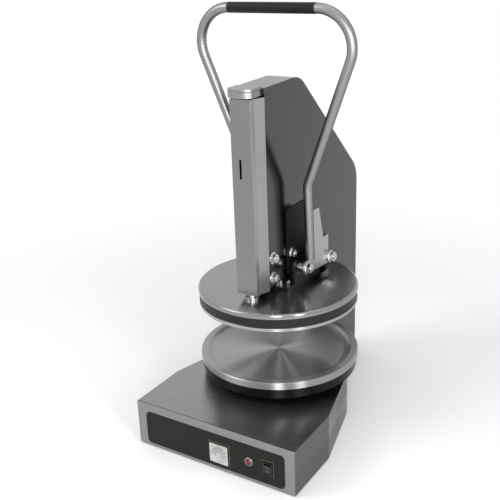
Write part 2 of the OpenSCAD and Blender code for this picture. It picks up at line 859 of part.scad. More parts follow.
module front_column() {
    back = [panel_x - column_t, cut - head_front];
    inner = concat([back], column_half(column_t));
    color(steel) difference() {
        translate([0, 0, column_z]) linear_extrude(column_top - column_z)
            polygon(concat(column_half(0), mirrored(column_half(0))));
        translate([0, 0, column_z - cut]) linear_extrude(column_top - column_z + 2 * cut)
            polygon(concat(inner, mirrored(inner)));
        translate([-slit_x - slit_w / 2, column_front - cut, slit_z - slit_h / 2])
            cube([slit_w, column_t + 2 * cut, slit_h]);
    }
}

// Plan of the cap: straight sides and a bowed front
cap_w = column_w / 2 + cap_out;
bow_r = (cap_w * cap_w + cap_bow * cap_bow) / (2 * cap_bow);
bow_a = asin(cap_w / bow_r);
bow_steps = 16;
cap_plan = concat(
    [[cap_w, -head_front], [-cap_w, -head_front]],
    [for (i = [0:bow_steps])
        let (a = bow_a * (2 * i / bow_steps - 1))
        [bow_r * sin(a), column_front - cap_bow + bow_r * (1 - cos(a))]]
);
cap_lid = 5;
cap_groove = 1;

// The cap's lid and body are parted by a fine groove
module column_cap() {
    color(steel) translate([0, 0, column_top + cap_gap]) {
        linear_extrude(cap_h - cap_lid - cap_groove) polygon(cap_plan);
        linear_extrude(cap_h) polygon(inset(cap_plan, cap_groove));
        translate([0, 0, cap_h - cap_lid]) linear_extrude(cap_lid) polygon(cap_plan);
    }
}

// Guides

module guide_block() {
    color(alloy) difference() {
        translate([-core_x, panel_t - head_front, guide_z])
            cube([2 * core_x, head_front - panel_t + guide_back, guide_h]);
        translate([0, 0, guide_z - cut]) cylinder(d = ram_d + 4, h = guide_h + 2 * cut);
        for (z = [guide_z, guide_top - ram_bush_h])
            translate([0, 0, z]) ram_bush_seat();
        for (p = guide_bolts_at) bar_x(-core_x - cut, core_x + cut, guide_bolt_d, p);
        both_sides() bar_x(panel_x - side_screw_in, core_x + cut, guide_bolt_d, side_screw_at);
    }
}

ram_bush_d = ram_d + 2 * ram_bush_t;

module ram_bush_seat() {
    translate([0, 0, -cut]) cylinder(d = ram_bush_d, h = ram_bush_h + 2 * cut);
}

module ram_bushes() {
    color(bronze) for (z = [guide_z, guide_top - ram_bush_h])
        translate([0, 0, z]) ring(ram_bush_d, ram_d + 2 * run_gap, ram_bush_h);
}

washer_t = 2;
washer_w = 6;
nut_h = 8;
nut_w = 4.5;
bolt_end = 3;

module guide_bolts() {
    reach = panel_x + washer_t + nut_h + bolt_end;
    color(bright) for (p = guide_bolts_at) bar_x(-reach, reach, guide_bolt_d, p);
}

guide_washer_w = 7;

module guide_washer(x, place) {
    difference() {
        bar_x(x, x + washer_t, guide_bolt_d + 2 * guide_washer_w, place);
        bar_x(x - cut, x + washer_t + cut, guide_bolt_d, place);
    }
}

module guide_washers() {
    color(bright) both_sides() {
        for (p = guide_bolts_at) guide_washer(panel_x, p);
        guide_washer(panel_x + side_plate_t, side_screw_at);
    }
}

side_plate_low = 4;
side_plate_r = 8;

// Dark plates on the tower's sides behind the levers, held by the side screws
module side_plates() {
    middle = [side_plate_w / 2 - side_plate_front, head_z + side_plate_low + side_plate_h / 2];
    color(black) both_sides() difference() {
        upright(panel_x, side_plate_t) translate(middle)
            plate_shape(side_plate_w, side_plate_h, side_plate_r);
        bar_x(panel_x - cut, panel_x + side_plate_t + cut, guide_bolt_d, side_screw_at);
    }
}

// Short hexagon screws into the guide block, beside its bore
module side_screws() {
    x = panel_x + side_plate_t + washer_t;
    color(bright) both_sides() {
        bar_x(panel_x - side_screw_in, x + nut_h + bolt_end, guide_bolt_d, side_screw_at);
        hex_x(x, x + nut_h, guide_bolt_d + 2 * nut_w, side_screw_at);
    }
}

module guide_nuts() {
    x = panel_x + washer_t;
    color(bright) both_sides() for (p = guide_bolts_at) difference() {
        hex_x(x, x + nut_h, guide_bolt_d + 2 * nut_w, p);
        bar_x(x - cut, x + nut_h + cut, guide_bolt_d, p);
    }
}

rod_block_up = 5;

module rod_block() {
    inner_w = column_w - 2 * column_t;
    color(alloy) difference() {
        translate([-inner_w / 2, column_front + column_t, column_z + rod_block_up])
            cube([inner_w, column_d - column_t, rod_block_h]);
        translate([0, rod_y, column_z])
            cylinder(d = rod_d + 2 * run_gap, h = rod_block_up + rod_block_h + cut);
    }
}

module bump_stop() {
    stop_z = upper_top + yoke_t + ram_flange_h + face_gap;
    color(rubber) translate([0, 0, stop_z]) ring(ram_flange_d, ram_d + 4, head_z - stop_z);
}

// Helical spring round the ram, from the guide block to the collar
spring_r = ram_d / 2 + 2 + spring_wire;
spring_sides = 6;
spring_rings = 8 * spring_turns;
spring_rise = spring_len - spring_wire - 2 * face_gap;
function spring_point(i, j) =
    let (a = 360 * i / 8, b = 360 * j / spring_sides, r = spring_r + spring_wire / 2 * cos(b))
    [r * cos(a), r * sin(a), spring_rise * i / spring_rings + spring_wire / 2 * sin(b)];
spring_points = [for (i = [0:spring_rings]) for (j = [0:spring_sides - 1]) spring_point(i, j)];
function spring_at(i, j) = i * spring_sides + j % spring_sides;
spring_faces = concat(
    [for (i = [0:spring_rings - 1]) for (j = [0:spring_sides - 1])
        each [
            [spring_at(i, j), spring_at(i + 1, j + 1), spring_at(i + 1, j)],
            [spring_at(i, j), spring_at(i, j + 1), spring_at(i + 1, j + 1)]
        ]],
    [for (j = [1:spring_sides - 2]) [0, j + 1, j]],
    [for (j = [1:spring_sides - 2])
        [spring_at(spring_rings, 0), spring_at(spring_rings, j), spring_at(spring_rings, j + 1)]]
);
spring_own_gap = min([
    for (i = [0:spring_rings - 8]) for (j = [0:spring_sides - 1]) for (k = [0:spring_sides - 1])
        norm(spring_point(i + 8, j) - spring_point(i, k))
]);
echo(spring_own_gap = spring_own_gap);

module return_spring() {
    color(bright) translate([0, 0, guide_top + spring_wire / 2 + face_gap])
        polyhedron(spring_points, spring_faces);
}

// Pivot brackets: an angle welded to the panel, whose outer leg carries the stud

stud_at = [pivot_y, pivot_z];
boss_r = stud_d / 2 + bush_t + 4;
bracket_y = pivot_y + boss_r;
bracket_out = bracket_x + bracket_t;
spacer_end = gusset_x - face_gap;
stud_washer = gusset_x + gusset_t + face_gap;
stud_end = stud_washer + washer_t + nut_h + bolt_end;

module pivot_bracket() {
    low = pivot_z - bracket_down;
    tall = bracket_down + bracket_up;
    color(steel) difference() {
        union() {
            translate([bracket_x, pivot_y - boss_r, low]) cube([bracket_t, 2 * boss_r, tall]);
            translate([panel_x, bracket_y, low]) cube([bracket_out - panel_x, bracket_t, tall]);
        }
        bar_x(bracket_x - cut, bracket_out + cut, stud_d, stud_at);
    }
}

module pivot_bracket_left() {
    mirror([1, 0, 0]) pivot_bracket();
}

module pivot_bracket_right() {
    pivot_bracket();
}

module pivot_studs() {
    color(bright) both_sides() bar_x(bracket_x, stud_end, stud_d, stud_at);
}

spacer_w = 4;

module pivot_spacers() {
    color(bright) both_sides() difference() {
        bar_x(bracket_out, spacer_end, stud_d + 2 * spacer_w, stud_at);
        bar_x(bracket_out - cut, spacer_end + cut, stud_d, stud_at);
    }
}

module pivot_nuts() {
    color(bright) both_sides() difference() {
        union() {
            bar_x(stud_washer, stud_washer + washer_t, stud_d + 2 * washer_w, stud_at);
            hex_x(stud_washer + washer_t, stud_washer + washer_t + nut_h, stud_d + 2 * nut_w, stud_at);
        }
        bar_x(stud_washer - cut, stud_end, stud_d, stud_at);
    }
}

// Handle

module lean() {
    translate([0, foot_y, foot_z]) rotate([handle_lean, 0, 0]) children();
}

// Solid of diameter d along the handle's path, past its lower ends by the length over.
// The bends are a hair fuller than the runs, whose ends lap into them.
bend_swell = 0.2;
bend_lap = 1.5;

module handle_path(d, over) {
    both_sides() {
        translate([arm_x, 0, -over]) cylinder(d = d, h = bend_start + over + bend_lap);
        translate([arm_x + arm_bend_r, 0, bend_start])
            path_bend(d, arm_bend_r, 180 - arm_slope, arm_slope);
        translate([bend_end.x, 0, bend_end.y]) rotate([0, arm_slope, 0]) translate([0, 0, -bend_lap])
            cylinder(d = d, h = norm(arm_top - bend_end) + 2 * bend_lap);
        translate([top_x, 0, top_z]) path_bend(d, top_bend_r, -arm_slope, 90 + arm_slope);
    }
    translate([-top_x - bend_lap, 0, grip_up]) rotate([0, 90, 0]) cylinder(d = d, h = 2 * (top_x + bend_lap));
}

// Bend of radius r in the handle's plane, counter-clockwise from the angle start
module path_bend(d, r, start, angle) {
    rotate([90, 0, 0]) rotate([0, 0, start]) rotate_extrude(angle = angle) translate([r, 0])
        circle(d = d + bend_swell);
}

module handle_tube() {
    color(steel) lean() difference() {
        handle_path(tube_d, 0);
        handle_path(tube_d - 2 * tube_t, cut);
    }
}

module handle_grip() {
    color(rubber) lean() translate([-grip_len / 2, 0, grip_up]) rotate([0, 90, 0])
        ring(tube_d + 2 * grip_t, tube_d, grip_len);
}

gusset_w = 8;
gusset_tip_r = 5;
gusset_knee_r = 8;

module pin_boss() {
    translate([pin_y, pin_z]) circle(pin_d / 2 + gusset_w, $fn = 32);
}

// Plate behind the arm over a lever from the cam pin to the pivot
module gusset() {
    tip_y = foot_y - gusset_up * tan(handle_lean);
    tip_z = pin_z + gusset_up - gusset_tip_r;
    knee_y = pin_y + gusset_knee_y;
    ends = [
        [foot_y, foot_z], [tip_y, tip_z], [tip_y + gusset_top_w - gusset_tip_r, tip_z], [knee_y, pin_z]
    ];
    color(steel) difference() {
        upright(gusset_x, gusset_t) {
            hull() {
                for (p = ends) translate(p) circle(gusset_tip_r, $fn = 32);
                translate([knee_y, pin_z + gusset_knee_z]) circle(gusset_knee_r, $fn = 32);
            }
            hull() {
                pin_boss();
                translate(stud_at) circle(boss_r, $fn = 32);
            }
        }
        lean() translate([arm_x, 0, 0]) cylinder(d = tube_d, h = bend_start);
        bar_x(gusset_x - cut, gusset_x + gusset_t + cut, pin_d, [pin_y, pin_z]);
        bar_x(gusset_x - cut, gusset_x + gusset_t + cut, stud_d + 2 * bush_t, stud_at);
    }
}

module gusset_left() {
    mirror([1, 0, 0]) gusset();
}

module gusset_right() {
    gusset();
}

module pivot_bushes() {
    color(bronze) both_sides() difference() {
        bar_x(gusset_x, gusset_x + gusset_t, stud_d + 2 * bush_t, stud_at);
        bar_x(gusset_x - cut, gusset_x + gusset_t + cut, stud_d + 2 * run_gap, stud_at);
    }
}

pin_at = [pin_y, pin_z];
pin_nut = gusset_x + gusset_t;
pin_inner = ear_x - 2 * face_gap;
pin_head = 3;
pin_collar_w = 3;

module cam_pins() {
    color(bright) both_sides() {
        bar_x(pin_inner - pin_head, pin_inner, pin_d + 2 * pin_collar_w, pin_at);
        bar_x(pin_inner, pin_nut + washer_t + nut_h + bolt_end, pin_d, pin_at);
    }
}

module cam_spacers() {
    x = ear_x + ear_t + 2 * face_gap;
    color(bright) both_sides() difference() {
        bar_x(x, gusset_x, pin_d + 2 * pin_collar_w, pin_at);
        bar_x(x - cut, gusset_x + cut, pin_d, pin_at);
    }
}

module cam_nuts() {
    color(bright) both_sides() difference() {
        union() {
            bar_x(pin_nut, pin_nut + washer_t, pin_d + 2 * washer_w, pin_at);
            hex_x(pin_nut + washer_t, pin_nut + washer_t + nut_h, pin_d + 2 * nut_w, pin_at);
        }
        bar_x(pin_nut - cut, pin_nut + washer_t + nut_h + cut, pin_d, pin_at);
    }
}

// Upper platen

yoke_bolt_d = 8;
yoke_front = -ram_flange_d / 2 - 14;
yoke_bolts_at = [
    for (x = [-1, 1]) for (y = [yoke_front + 3 * yoke_bolt_d, ear_back - 12]) [x * (ear_x - yoke_bolt_d), y]
];

module yoke_bolt_holes(z, h) {
    for (p = yoke_bolts_at) translate([p.x, p.y, z]) cylinder(d = yoke_bolt_d, h = h);
}

// Spun cover with a rounded edge, in section
module upper_cover() {
    inner = upper_r - cover_t;
    color(steel) difference() {
        rotate_extrude($fn = 128) polygon(concat(
            [[0, upper_top - cover_t], [inner, upper_top - cover_t], [inner, cover_z], [upper_r, cover_z]],
            corner([upper_r, cover_z], [upper_r, upper_top], [0, upper_top], cover_r),
            [[0, upper_top]]
        ));
        yoke_bolt_holes(upper_top - cover_t - cut, cover_t + 2 * cut);
    }
}

module upper_band() {
    core_r = upper_r - cover_t;
    color(black) difference() {
        union() {
            translate([0, 0, band_z]) cylinder(r = upper_r - band_inset, h = band_h, $fn = 128);
            translate([0, 0, cover_z]) cylinder(r = core_r, h = cover_h - cover_t, $fn = 128);
        }
        yoke_bolt_holes(band_z - cut, band_h + cover_h + 2 * cut);
    }
}

module press_plate() {
    lip_r = upper_r - plate_inset;
    face_r = dish_d / 2 - face_inset;
    color(alloy) rotate_extrude($fn = 128) polygon([
        [0, lip_z - face_h], [face_r - face_h, lip_z - face_h], [face_r, lip_z], [lip_r - 1, lip_z],
        [lip_r, lip_z + 1], [lip_r, band_z - 1], [lip_r - 1, band_z], [0, band_z]
    ]);
}

// Foot across the platen with two upright ears, each cut by the cam slot
module yoke() {
    color(dark_steel) difference() {
        union() {
            translate([-ear_x - ear_t, yoke_front, upper_top])
                cube([2 * (ear_x + ear_t), ear_back - yoke_front, yoke_t]);
            both_sides() upright(ear_x, ear_t) polygon([
                [ear_front, upper_top], [ear_back, upper_top], [ear_back, ear_top - 4],
                [ear_back - 4, ear_top], [ear_front + 4, ear_top], [ear_front, ear_top - 4]
            ]);
        }
        both_sides() upright(ear_x - cut, ear_t + 2 * cut) polygon(cam_slot);
        yoke_bolt_holes(upper_top - cut, yoke_t + 2 * cut);
    }
}

module yoke_bolts() {
    color(bright) for (p = yoke_bolts_at) translate([p.x, p.y, 0]) {
        translate([0, 0, upper_top + yoke_t]) cylinder(d = yoke_bolt_d + 5, h = bolt_head_h, $fn = 6);
        translate([0, 0, band_z]) cylinder(d = yoke_bolt_d, h = upper_top + yoke_t - band_z);
    }
}

module ram() {
    color(bright) translate([0, 0, upper_top + yoke_t]) {
        cylinder(d = ram_flange_d, h = ram_flange_h);
        cylinder(d = ram_d, h = ram_top - upper_top - yoke_t);
    }
}

module ram_collar() {
    color(dark_steel) translate([0, 0, collar_z]) ring(2 * spring_r + spring_wire, ram_d, collar_h);
}

module guide_rod() {
    color(bright) translate([0, rod_y, upper_top]) {
        cylinder(d = rod_d + 2 * rod_flange_w, h = rod_flange_h);
        cylinder(d = rod_d, h = rod_len);
    }
}

seat() base_plate();
seat() base_shell();
seat() rubber_feet();
seat() foot_screws();
seat() control_fascia();
seat() dial_plate();
seat() thermostat();
seat() thermostat_spindle();
seat() thermostat_knob();
seat() pilot_bezel();
seat() pilot_lens();
seat() switch_frame();
seat() switch_rocker();
seat() terminal_block();
seat() cable_gland();
seat() gland_nut();
seat() pedestal();
seat() pedestal_bolts();
seat() lower_drum();
seat() lower_insulation();
seat() heater_ring();
seat() lower_platen();
seat() tower_side_left();
seat() tower_side_right();
seat() tower_spine();
seat() tower_throat();
seat() tower_front();
seat() front_column();
seat() column_cap();
seat() guide_block();
seat() ram_bushes();
seat() guide_bolts();
seat() guide_washers();
seat() guide_nuts();
seat() side_plates();
seat() side_screws();
seat() rod_block();
seat() bump_stop();
seat() return_spring();
seat() pivot_bracket_left();
seat() pivot_bracket_right();
seat() pivot_studs();
seat() pivot_spacers();
seat() pivot_nuts();
seat() handle_tube();
seat() handle_grip();
seat() gusset_left();
seat() gusset_right();
seat() pivot_bushes();
seat() cam_pins();
seat() cam_spacers();
seat() cam_nuts();
seat() upper_cover();
seat() upper_band();
seat() press_plate();
seat() yoke();
seat() yoke_bolts();
seat() ram();
seat() ram_collar();
seat() guide_rod();
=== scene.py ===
"""Lever dough press: finishes, small details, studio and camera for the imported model."""

import math

import bmesh
import bpy
from mathutils import Matrix, Vector


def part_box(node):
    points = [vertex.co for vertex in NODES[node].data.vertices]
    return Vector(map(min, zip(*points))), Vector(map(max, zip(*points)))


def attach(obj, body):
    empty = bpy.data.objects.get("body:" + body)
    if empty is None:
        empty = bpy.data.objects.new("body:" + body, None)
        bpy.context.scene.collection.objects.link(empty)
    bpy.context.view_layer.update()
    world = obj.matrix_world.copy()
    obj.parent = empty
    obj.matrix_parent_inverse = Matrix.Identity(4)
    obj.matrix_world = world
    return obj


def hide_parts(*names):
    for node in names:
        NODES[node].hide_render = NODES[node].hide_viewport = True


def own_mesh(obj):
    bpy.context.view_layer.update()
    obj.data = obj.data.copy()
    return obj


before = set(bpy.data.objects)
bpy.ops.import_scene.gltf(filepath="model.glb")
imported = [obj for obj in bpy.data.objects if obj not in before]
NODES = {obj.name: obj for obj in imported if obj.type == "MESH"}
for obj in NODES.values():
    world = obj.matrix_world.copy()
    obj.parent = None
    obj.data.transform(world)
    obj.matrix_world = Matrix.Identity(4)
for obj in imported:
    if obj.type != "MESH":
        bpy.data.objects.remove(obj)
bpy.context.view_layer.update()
MM = 0.001


def corners(node):
    """Low and high corner of a CAD node's box."""
    low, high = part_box(node)
    return Vector(low), Vector(high)


def middle(node):
    low, high = corners(node)
    return (low + high) / 2


AXIS_Y = middle("lower_platen").y


# Materials

# Levels between which a noise texture mostly lies
NOISE_RANGE = (0.25, 0.75)
# Grain lines to the metre, across the grain and along it
GRAIN_FINE, GRAIN_SLOW = 1600.0, 10.0
# Length of one band of the wave texture at a scale of one
WAVE_UNIT = math.tau / 20


class Finish:
    """A procedural material around one Principled shader."""

    def __init__(self, name, color, roughness, metallic=0.0, **sockets):
        self.mat = bpy.data.materials.new(name)
        self.mat.use_nodes = True
        self.tree = self.mat.node_tree
        self.shader = self.tree.nodes["Principled BSDF"]
        self.color = color
        self.put("Base Color", (*color, 1))
        self.put("Roughness", roughness)
        self.put("Metallic", metallic)
        for socket, value in sockets.items():
            self.put(socket.replace("_", " "), value)

    def put(self, socket, value):
        self.shader.inputs[socket].default_value = value

    def feed(self, socket, source):
        self.join(source, self.shader.inputs[socket])

    def add(self, kind, **settings):
        node = self.tree.nodes.new(kind)
        for key, value in settings.items():
            setattr(node, key, value)
        return node

    def join(self, source, target):
        self.tree.links.new(source, target)

    def coords(self, scale, place=(0, 0, 0)):
        """Object coordinates about a place, times a scale along each axis."""
        start = self.add("ShaderNodeTexCoord")
        shift = self.add("ShaderNodeVectorMath", operation="SUBTRACT")
        shift.inputs[1].default_value = place
        size = self.add("ShaderNodeVectorMath", operation="MULTIPLY")
        size.inputs[1].default_value = scale
        self.join(start.outputs["Object"], shift.inputs[0])
        self.join(shift.outputs[0], size.inputs[0])
        return size.outputs[0]

    def noise(self, vector, scale=1.0, detail=3.0):
        node = self.add("ShaderNodeTexNoise")
        node.inputs["Scale"].default_value = scale
        node.inputs["Detail"].default_value = detail
        self.join(vector, node.inputs["Vector"])
        return node.outputs["Fac"]

    def math(self, operation, a, b):
        node = self.add("ShaderNodeMath", operation=operation)
        for socket, value in zip(node.inputs, (a, b)):
            if isinstance(value, (int, float)):
                socket.default_value = value
            else:
                self.join(value, socket)
        return node.outputs[0]

    def blend(self, a, b, share):
        """Mix of two values with a fixed share of the second."""
        return self.math("ADD", self.math("MULTIPLY", a, 1 - share), self.math("MULTIPLY", b, share))

    def facing(self, axis, least=0.5):
        """One where a face looks either way along an axis, else zero."""
        start = self.add("ShaderNodeTexCoord")
        parts = self.add("ShaderNodeSeparateXYZ")
        self.join(start.outputs["Normal"], parts.inputs[0])
        size = self.add("ShaderNodeMath", operation="ABSOLUTE")
        self.join(parts.outputs[axis], size.inputs[0])
        return self.math("GREATER_THAN", size.outputs[0], least)

    def choose(self, factor, a, b):
        node = self.add("ShaderNodeMix", data_type="FLOAT")
        for socket, value in zip((node.inputs[0], node.inputs[2], node.inputs[3]), (factor, a, b)):
            self.join(value, socket)
        return node.outputs[0]

    def remap(self, value, old, new, **settings):
        """Value taken from one range to another."""
        node = self.add("ShaderNodeMapRange", **settings)
        for socket, level in zip(("From Min", "From Max", "To Min", "To Max"), (*old, *new)):
            node.inputs[socket].default_value = level
        self.join(value, node.inputs["Value"])
        return node.outputs["Result"]

    def vary_roughness(self, noise, roughness, low, high):
        """Roughness that runs between two shares of its plain value."""
        self.feed("Roughness", self.remap(noise, NOISE_RANGE, (roughness * low, roughness * high)))

    def tint(self, noise, dark, light):
        """Colour that runs from dark to light times the finish's own colour."""
        ramp = self.add("ShaderNodeValToRGB")
        for element, place, level in zip(ramp.color_ramp.elements, NOISE_RANGE, (dark, light)):
            element.position = place
            element.color = (*[min(1.0, c * level) for c in self.color], 1)
        self.join(noise, ramp.inputs["Fac"])
        return ramp.outputs["Color"]

    def shade(self, color, factor, level):
        """Painted shade and painted highlight: colour brought to a level of itself where the factor is
        one, darker below one and lighter above.
        """
        node = self.add("ShaderNodeMix", data_type="RGBA", blend_type="MULTIPLY")
        share, below, above = node.inputs[0], node.inputs[6], node.inputs[7]
        above.default_value = (level, level, level, 1)
        self.join(factor, share)
        self.join(color, below)
        return node.outputs[2]

    def bump(self, height, distance):
        node = self.add("ShaderNodeBump")
        node.inputs["Distance"].default_value = distance
        self.join(height, node.inputs["Height"])
        self.feed("Normal", node.outputs["Normal"])


def brushed(name, color, roughness, along, aside=None,
            painted_side_level=1.0, rim_level=1.0, sheen=0.0, lift=2e-6):
    """Brushed metal: grain along an axis, along another on sideways faces, and cloudy patches.

    Sideways faces can be painted darker or brighter, as painted shade and painted highlight, and the
    grazing rims darker.
    A sheen draws the reflections out across the grain, and lift is the grain's height.
    """
    rim = (rim_level, rim_level, rim_level, 1)
    finish = Finish(name, color, roughness, metallic=1.0, Anisotropic=sheen, Specular_Tint=rim)

    def grain(axis):
        scale = [GRAIN_SLOW if a == axis else GRAIN_FINE for a in "XYZ"]
        return finish.noise(finish.coords(scale), detail=2.0)

    lines = grain(along)
    if aside:
        lines = finish.choose(finish.facing("X"), lines, grain(aside))
    patch = finish.noise(finish.coords(scale=(7, 7, 7)), detail=4.0)
    mixed = finish.blend(lines, patch, share=0.4)
    shown = finish.tint(mixed, dark=0.92, light=1.08)
    # Painted shade and painted highlight: sideways faces brought to a level of their own colour
    if painted_side_level != 1:
        shown = finish.shade(shown, finish.facing("X"), painted_side_level)
    finish.feed("Base Color", shown)
    finish.vary_roughness(mixed, roughness, low=0.8, high=1.25)
    finish.bump(lines, lift)
    if sheen:
        tangent = finish.add("ShaderNodeTangent", direction_type="RADIAL", axis=along)
        finish.feed("Tangent", tangent.outputs["Tangent"])
    return finish.mat


def turned(name, color, roughness, pitch=0.0012, anisotropic=0.8, painted_flat_level=1.0):
    """Lathe-turned metal: fine rings about the platen axis, with highlights that fan out from it.

    Its flat faces can be painted darker than its edge, as painted shade.
    """
    finish = Finish(name, color, roughness, 1.0, Anisotropic=anisotropic, Anisotropic_Rotation=0.25)
    radius = finish.add("ShaderNodeVectorMath", operation="LENGTH")
    finish.join(finish.coords(scale=(1, 1, 0), place=(0, AXIS_Y, 0)), radius.inputs[0])
    ring = finish.add("ShaderNodeTexNoise", noise_dimensions="1D")
    ring.inputs["Scale"].default_value = 1 / pitch
    finish.join(radius.outputs["Value"], ring.inputs["W"])
    patch = finish.noise(finish.coords(scale=(11, 11, 11)), detail=4.0)
    mixed = finish.blend(ring.outputs["Fac"], patch, share=0.5)
    shown = finish.tint(mixed, dark=0.9, light=1.1)
    # Painted shade: flat faces brought down to a level of their own colour
    if painted_flat_level != 1:
        shown = finish.shade(shown, finish.facing("Z"), painted_flat_level)
    finish.feed("Base Color", shown)
    finish.vary_roughness(mixed, roughness, low=0.85, high=1.2)
    finish.bump(ring.outputs["Fac"], distance=1e-6)
    tangent = finish.add("ShaderNodeTangent", direction_type="RADIAL", axis="Z")
    finish.feed("Tangent", tangent.outputs["Tangent"])
    return finish.mat


def threaded(name, color, roughness, pitch=0.0015):
    """Bright bar with a fine thread along X."""
    finish = Finish(name, color, roughness, metallic=1.0)
    wave = finish.add("ShaderNodeTexWave", bands_direction="X", wave_profile="SAW")
    wave.inputs["Scale"].default_value = WAVE_UNIT
    finish.join(finish.coords((1 / pitch, 1 / pitch, 1 / pitch)), wave.inputs["Vector"])
    patch = finish.noise(finish.coords(scale=(300, 300, 300)))
    mixed = finish.blend(wave.outputs["Fac"], patch, share=0.4)
    finish.feed("Base Color", finish.tint(mixed, dark=0.8, light=1.1))
    finish.vary_roughness(mixed, roughness, low=0.8, high=1.3)
    finish.bump(wave.outputs["Fac"], distance=2e-4)
    return finish.mat


def moulded(name, color, roughness, grain, lift, **sockets):
    """Plastic, rubber or paint: a fine stipple with slow changes of shade and gloss."""
    finish = Finish(name, color, roughness, **sockets)
    stipple = finish.noise(finish.coords((1, 1, 1)), scale=grain, detail=2.0)
    patch = finish.noise(finish.coords((1, 1, 1)), scale=35.0)
    finish.feed("Base Color", finish.tint(patch, dark=0.85, light=1.2))
    finish.vary_roughness(patch, roughness, low=0.85, high=1.15)
    finish.bump(stipple, lift)
    return finish.mat


def grey(level, blue_share=0.985):
    """Slightly warm grey, as bare steel has."""
    return (level, level, level * blue_share)


FINISHES = {
    # Base: sideways faces painted darker, a painted shade on the same steel
    "base": brushed("brushed_base", grey(0.27), 0.27, "X", aside="Y",
                    painted_side_level=0.38, sheen=0.7, lift=4e-7),
    # Tower sides: dark steel, its darkness in part painted shade for the dark reflections along the
    # tower's sides
    "side": brushed("brushed_side_painted_dark", grey(0.072), 0.15, "Z"),
    # Column: sideways faces painted brighter, a painted highlight along its side strip
    "column": brushed("brushed_column", grey(0.25), 0.28, "Z", painted_side_level=1.35, sheen=0.5, lift=6e-7),
    "cap": brushed("brushed_cap", grey(0.29), 0.36, "X", lift=6e-7),
    "strip": brushed("brushed_strip", grey(0.17), 0.26, "Y"),
    "tube": brushed("satin_tube", grey(0.28), 0.36, "Z", rim_level=0.0, lift=1e-7),
    "gusset": brushed("satin_plate", grey(0.38), 0.3, "Z"),
    "weld": brushed("weld_steel", grey(0.36), 0.35, "Z"),
    "bright": brushed("bright_steel", grey(0.68), 0.16, "X", rim_level=0.5),
    "thread": threaded("threaded_steel", grey(0.6), 0.18),
    "shaft": brushed("ground_shaft", grey(0.6), 0.12, "Z"),
    # Dark rolled steel, taken darker still as painted shade on the yoke, which stands in shade under the
    # tower
    "plate": brushed("rolled_plate_shaded", grey(0.06), 0.3, "Y"),
    "block": brushed("milled_block", grey(0.45), 0.3, "Y"),
    "dish": turned("turned_dish", grey(0.34), 0.34, anisotropic=1.0),
    "cover": turned("spun_cover", grey(0.28), 0.22, anisotropic=0.8),
    # Press plate: flat faces painted far darker than its bright lip, as painted shade on the underside
    "press": turned("turned_press_plate", grey(0.42), 0.26, anisotropic=0.95, painted_flat_level=0.2),
    "drum": turned("spun_drum", grey(0.018), 0.28, anisotropic=0.8),
    "chrome": brushed("bezel_chrome", grey(0.17), 0.3, "Y"),
    # Black enamel, also painted shade on the dark plates by the tower
    "enamel": moulded("black_enamel_and_shade", grey(0.008), 0.4, 900.0, 6e-6, Specular_IOR_Level=0.07),
    "panel": moulded("black_film", grey(0.006), 0.38, 1400.0, 4e-6, Specular_IOR_Level=0.2),
    "core": moulded("dark_board", grey(0.011), 0.42, 800.0, 1e-5, Specular_IOR_Level=0.25),
    "switch": moulded("black_moulding", grey(0.008), 0.28, 1500.0, 4e-6, Specular_IOR_Level=0.4),
    "rubber": moulded("black_rubber", grey(0.006), 0.5, 1100.0, 3e-5, Specular_IOR_Level=0.2),
    "pale": moulded("pale_moulding", (0.42, 0.42, 0.41), 0.35, 900.0, 4e-6),
    "cream": moulded("cream_moulding", (0.66, 0.62, 0.52), 0.55, 700.0, 1e-5),
    "lens": moulded("red_lens", (0.17, 0.008, 0.011), 0.26, 600.0, 2e-6, Specular_IOR_Level=0.35),
    "ink": moulded("dark_ink", grey(0.03), 0.5, 1200.0, 2e-6),
    "mark": moulded("pale_ink", grey(0.16), 0.5, 1200.0, 2e-6),
    "bronze": brushed("sintered_bronze", (0.5, 0.33, 0.14), 0.34, "Z"),
    "gold": brushed("gold_print", (0.26, 0.19, 0.07), 0.4, "X"),
}

WEARS = {
    "base": "base_shell",
    "side": "tower_side_left tower_side_right",
    "column": "front_column",
    "cap": "column_cap",
    "strip": "tower_spine tower_throat",
    "tube": "handle_tube",
    "gusset": "gusset_left gusset_right pivot_bracket_left pivot_bracket_right",
    "bright": "foot_screws pedestal_bolts guide_washers guide_nuts side_screws pivot_spacers pivot_nuts "
              "cam_spacers cam_nuts yoke_bolts thermostat_spindle return_spring",
    "thread": "guide_bolts pivot_studs cam_pins",
    "shaft": "ram guide_rod",
    "plate": "base_plate yoke ram_collar heater_ring",
    "block": "guide_block rod_block",
    "dish": "lower_platen",
    "press": "press_plate",
    "cover": "upper_cover",
    "drum": "lower_drum",
    "chrome": "pilot_bezel",
    # The pedestal is black enamel; the side plates and the tower's front are black as painted shade,
    # where they lie in shade behind the lever and beside the cap
    "enamel": "pedestal side_plates tower_front",
    "panel": "control_fascia",
    "core": "upper_band",
    "switch": "switch_frame switch_rocker cable_gland gland_nut",
    "rubber": "rubber_feet bump_stop handle_grip",
    "pale": "dial_plate thermostat_knob",
    "cream": "lower_insulation terminal_block thermostat",
    "lens": "pilot_lens",
    "bronze": "ram_bushes pivot_bushes",
}

# Widths of the rounded edges, in millimetres
ROUNDED = {
    1.2: "base_shell column_cap",
    0.7: "gusset_left gusset_right pivot_bracket_left pivot_bracket_right yoke",
    0.5: "guide_nuts pivot_nuts cam_nuts side_screws yoke_bolts guide_washers thermostat_knob dial_plate "
         "cam_spacers pivot_spacers handle_grip front_column",
    0.4: "switch_frame switch_rocker pilot_bezel control_fascia tower_side_left tower_side_right "
         "side_plates",
}


def dress(obj, finish):
    obj.data.materials.clear()
    obj.data.materials.append(FINISHES[finish])


